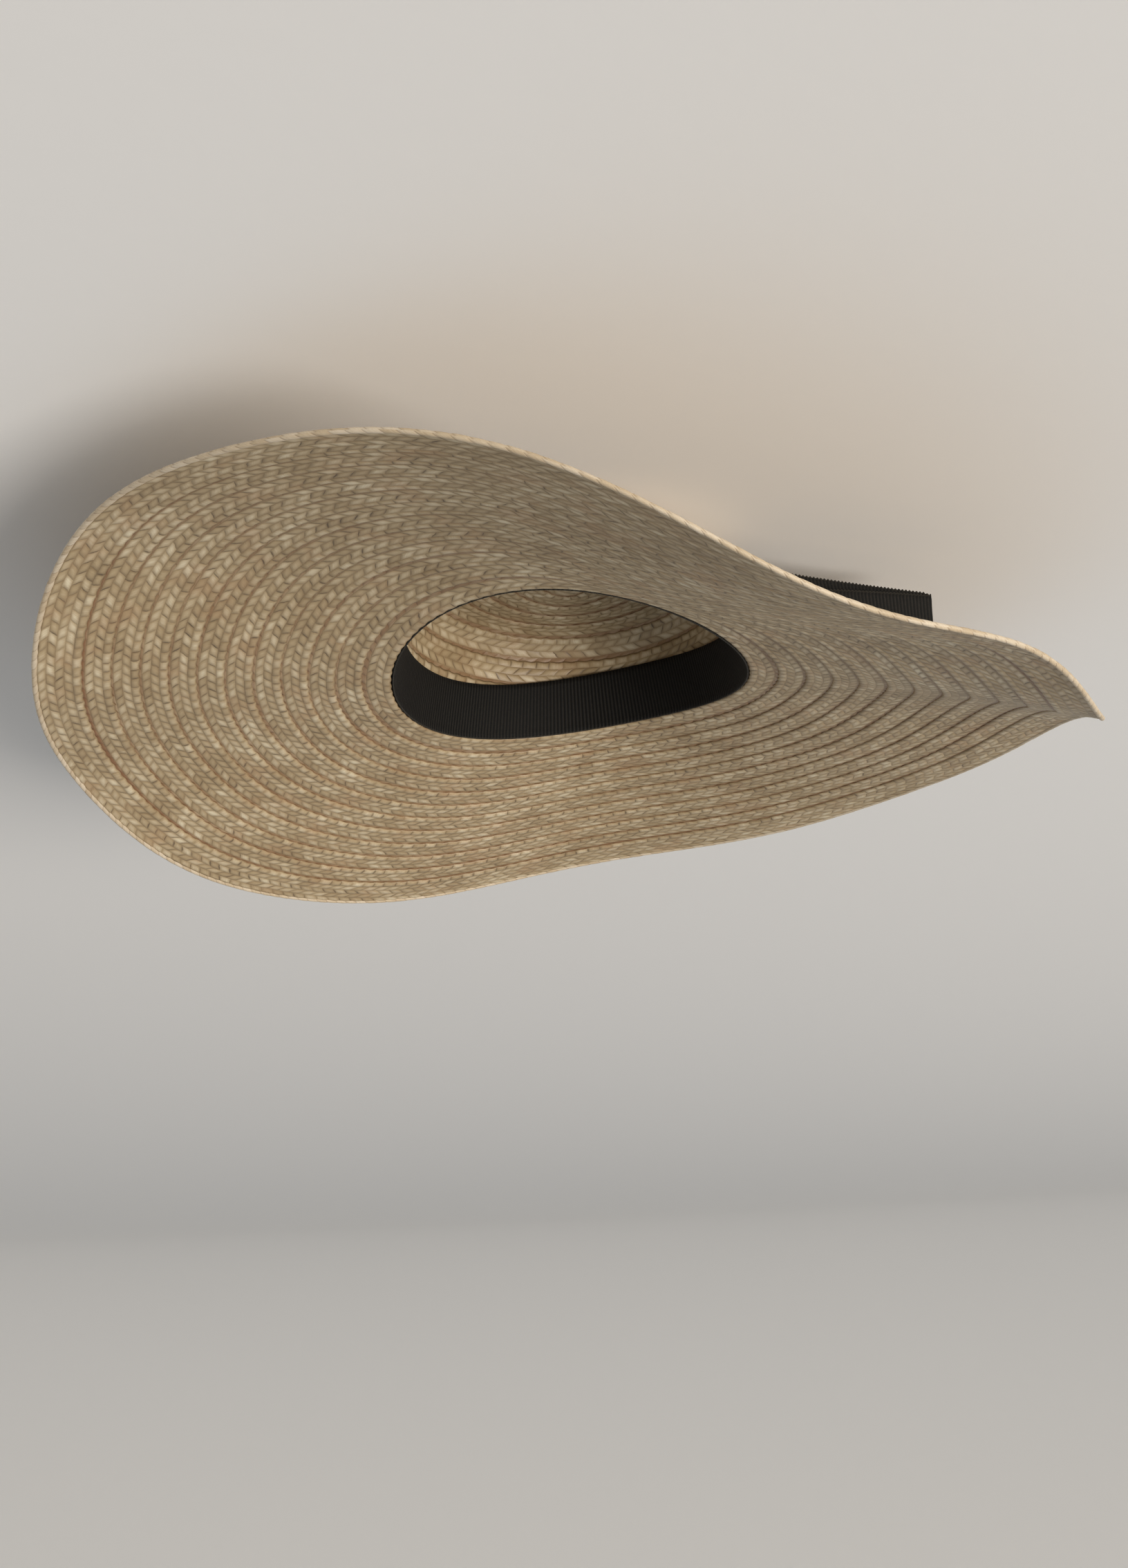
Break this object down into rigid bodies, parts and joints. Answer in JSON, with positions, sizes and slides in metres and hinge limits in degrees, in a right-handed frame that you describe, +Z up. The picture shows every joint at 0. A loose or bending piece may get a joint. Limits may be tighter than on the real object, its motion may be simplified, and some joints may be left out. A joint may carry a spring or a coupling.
{
  "type": "wide-brimmed straw picture hat",
  "caption": "Wide straw picture hat with a wavy sewn-plait brim, wired edge, shallow oval crown, ribbon sweatband, ribbon hatband and a standing ribbon loop.",
  "frame": {"origin": "middle of the crown's flat tip, on its outer face, where the hat rests on a surface with its brim up", "axes": "+Z up out of the head opening, -Y towards the front of the hat, +X towards the wearer's right"},
  "size_m": [0.4627, 0.4901, 0.111],
  "materials": {
    "sewn_straw_plait": "semi-matt natural straw, plaited and sewn in rows",
    "wrapped_straw_edge": "pale straw turned and wrapped over a wire",
    "black_grosgrain": "matt ribbed ribbon"
  },
  "bodies": {
    "root": {"crown": "sewn_straw_plait", "brim": "sewn_straw_plait", "wired_edge": "wrapped_straw_edge", "sweatband": "black_grosgrain", "hatband": "black_grosgrain", "bow_knot": "black_grosgrain", "bow_loop": "black_grosgrain"}
  },
  "joints": []
}
